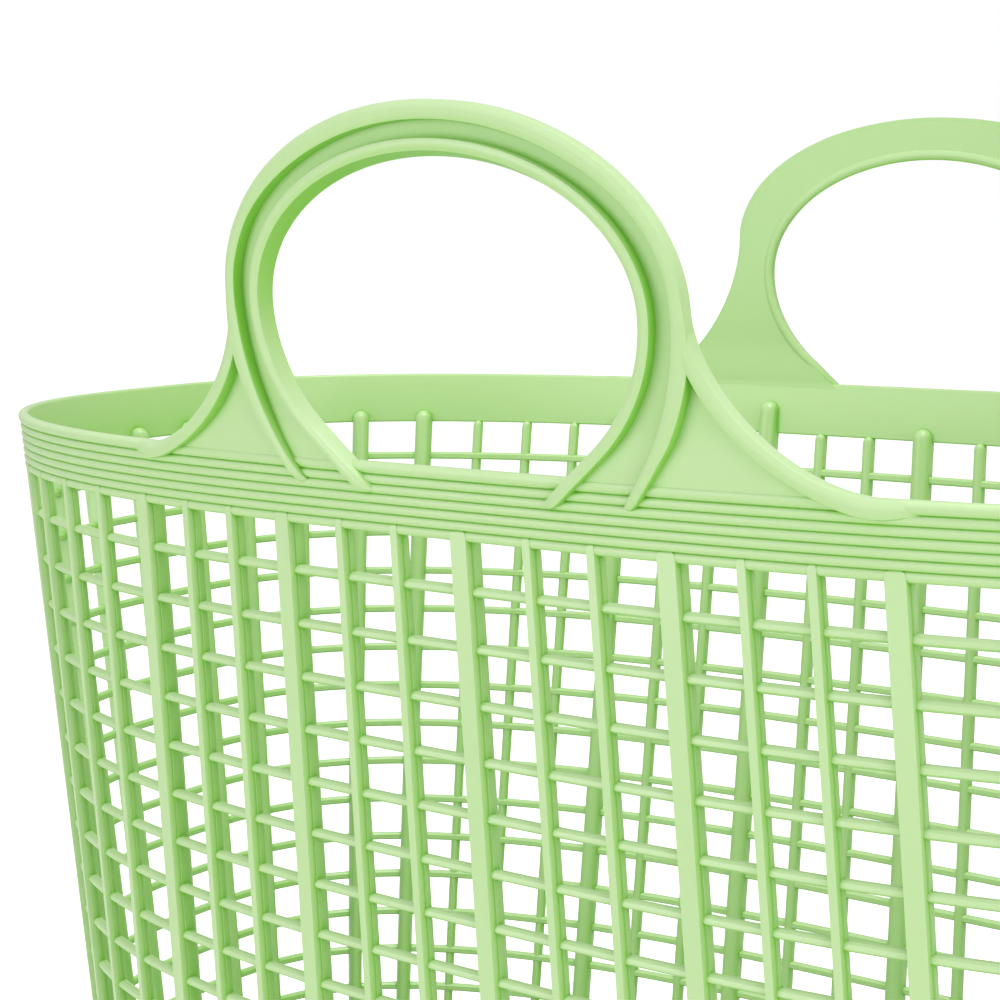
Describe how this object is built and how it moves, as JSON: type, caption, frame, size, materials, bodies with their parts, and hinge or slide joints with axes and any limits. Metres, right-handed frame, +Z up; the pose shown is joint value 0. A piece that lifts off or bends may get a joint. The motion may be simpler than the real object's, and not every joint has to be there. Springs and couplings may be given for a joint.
{
  "type": "rolling basket trolley",
  "caption": "Moulded mesh shopping basket with two carrying hoops on a wheeled chassis with swivel casters and a telescopic pull handle.",
  "frame": {"origin": "on the ground under the middle of the whole trolley's bounding box", "axes": "+X along the basket towards the pull handle, +Y to the left, +Z up"},
  "size_m": [0.531, 0.294, 0.485],
  "materials": {
    "basket_plastic": "satin pale green moulded polyethylene",
    "chassis_plastic": "fine textured grey green polypropylene",
    "dark_plastic": "satin charcoal nylon",
    "hub_plastic": "satin light grey polypropylene",
    "nylon": "natural nylon",
    "tyre_rubber": "soft thermoplastic rubber",
    "steel": "zinc plated steel",
    "alloy_tube": "satin anodised aluminium"
  },
  "bodies": {
    "trolley": {"basket": "basket_plastic", "chassis": "chassis_plastic", "chassis_screws": "steel", "chassis_washers": "steel", "main_axle": "steel", "axle_caps": "dark_plastic", "axle_spacers": "nylon", "caster_bush_left": "nylon", "caster_bush_right": "nylon", "outer_tube_left": "alloy_tube", "outer_tube_right": "alloy_tube", "outer_collar_left": "dark_plastic", "outer_collar_right": "dark_plastic", "tube_bolts": "steel", "handle_bracket": "chassis_plastic", "bracket_plate": "chassis_plastic", "bracket_screws": "steel"},
    "wheel_left": {"wheel_hub_left": "hub_plastic", "wheel_tyre_left": "tyre_rubber", "wheel_bush_left": "nylon"},
    "wheel_right": {"wheel_hub_right": "hub_plastic", "wheel_tyre_right": "tyre_rubber", "wheel_bush_right": "nylon"},
    "caster_left": {"caster_fork_left": "dark_plastic", "caster_stem_left": "steel", "caster_clip_left": "steel", "caster_axle_left": "steel"},
    "caster_right": {"caster_fork_right": "dark_plastic", "caster_stem_right": "steel", "caster_clip_right": "steel", "caster_axle_right": "steel"},
    "caster_wheel_left": {"caster_hub_left": "hub_plastic", "caster_tyre_left": "tyre_rubber"},
    "caster_wheel_right": {"caster_hub_right": "hub_plastic", "caster_tyre_right": "tyre_rubber"},
    "handle_lower": {"middle_tube_left": "alloy_tube", "middle_tube_right": "alloy_tube", "middle_collar_left": "dark_plastic", "middle_collar_right": "dark_plastic", "middle_plug_left": "dark_plastic", "middle_plug_right": "dark_plastic", "lower_lock_springs": "steel"},
    "lower_locks": {"lower_lock_pins": "steel"},
    "handle_upper": {"inner_tube_left": "alloy_tube", "inner_tube_right": "alloy_tube", "inner_plug_left": "dark_plastic", "inner_plug_right": "dark_plastic", "upper_lock_springs": "steel", "grip": "dark_plastic", "grip_cover": "dark_plastic", "button_springs": "steel"},
    "upper_locks": {"upper_lock_pins": "steel"},
    "button": {"release_button": "basket_plastic", "button_yoke": "nylon", "push_rods": "steel"}
  },
  "joints": [
    {"name": "wheel_left_spin", "type": "hinge", "parent": "trolley", "child": "wheel_left", "pos_m": [0.188, 0.096, 0.038], "axis": [0, 1, 0], "continuous": true},
    {"name": "wheel_right_spin", "type": "hinge", "parent": "trolley", "child": "wheel_right", "pos_m": [0.188, -0.096, 0.038], "axis": [0, 1, 0], "continuous": true},
    {"name": "caster_left_swivel", "type": "hinge", "parent": "trolley", "child": "caster_left", "pos_m": [-0.167, 0.056, 0.065], "axis": [0, 0, 1], "continuous": true},
    {"name": "caster_right_swivel", "type": "hinge", "parent": "trolley", "child": "caster_right", "pos_m": [-0.167, -0.056, 0.065], "axis": [0, 0, 1], "continuous": true},
    {"name": "caster_left_roll", "type": "hinge", "parent": "caster_left", "child": "caster_wheel_left", "pos_m": [-0.187, 0.056, 0.025], "axis": [0, 1, 0], "continuous": true},
    {"name": "caster_right_roll", "type": "hinge", "parent": "caster_right", "child": "caster_wheel_right", "pos_m": [-0.187, -0.056, 0.025], "axis": [0, 1, 0], "continuous": true},
    {"name": "handle_lower_slide", "type": "slide", "parent": "trolley", "child": "handle_lower", "axis": [0, 0, 1], "range_m": [0, 0.24]},
    {"name": "handle_upper_slide", "type": "slide", "parent": "handle_lower", "child": "handle_upper", "axis": [0, 0, 1], "range_m": [0, 0.225]},
    {"name": "lower_lock_slide", "type": "slide", "parent": "handle_lower", "child": "lower_locks", "axis": [1, 0, 0], "range_m": [0, 0.0018], "deforming": ["lower_lock_springs"]},
    {"name": "upper_lock_slide", "type": "slide", "parent": "handle_upper", "child": "upper_locks", "axis": [1, 0, 0], "range_m": [0, 0.0016], "deforming": ["upper_lock_springs"]},
    {"name": "button_press", "type": "slide", "parent": "handle_upper", "child": "button", "axis": [0, 0, -1], "range_m": [0, 0.004], "deforming": ["button_springs"]}
  ]
}
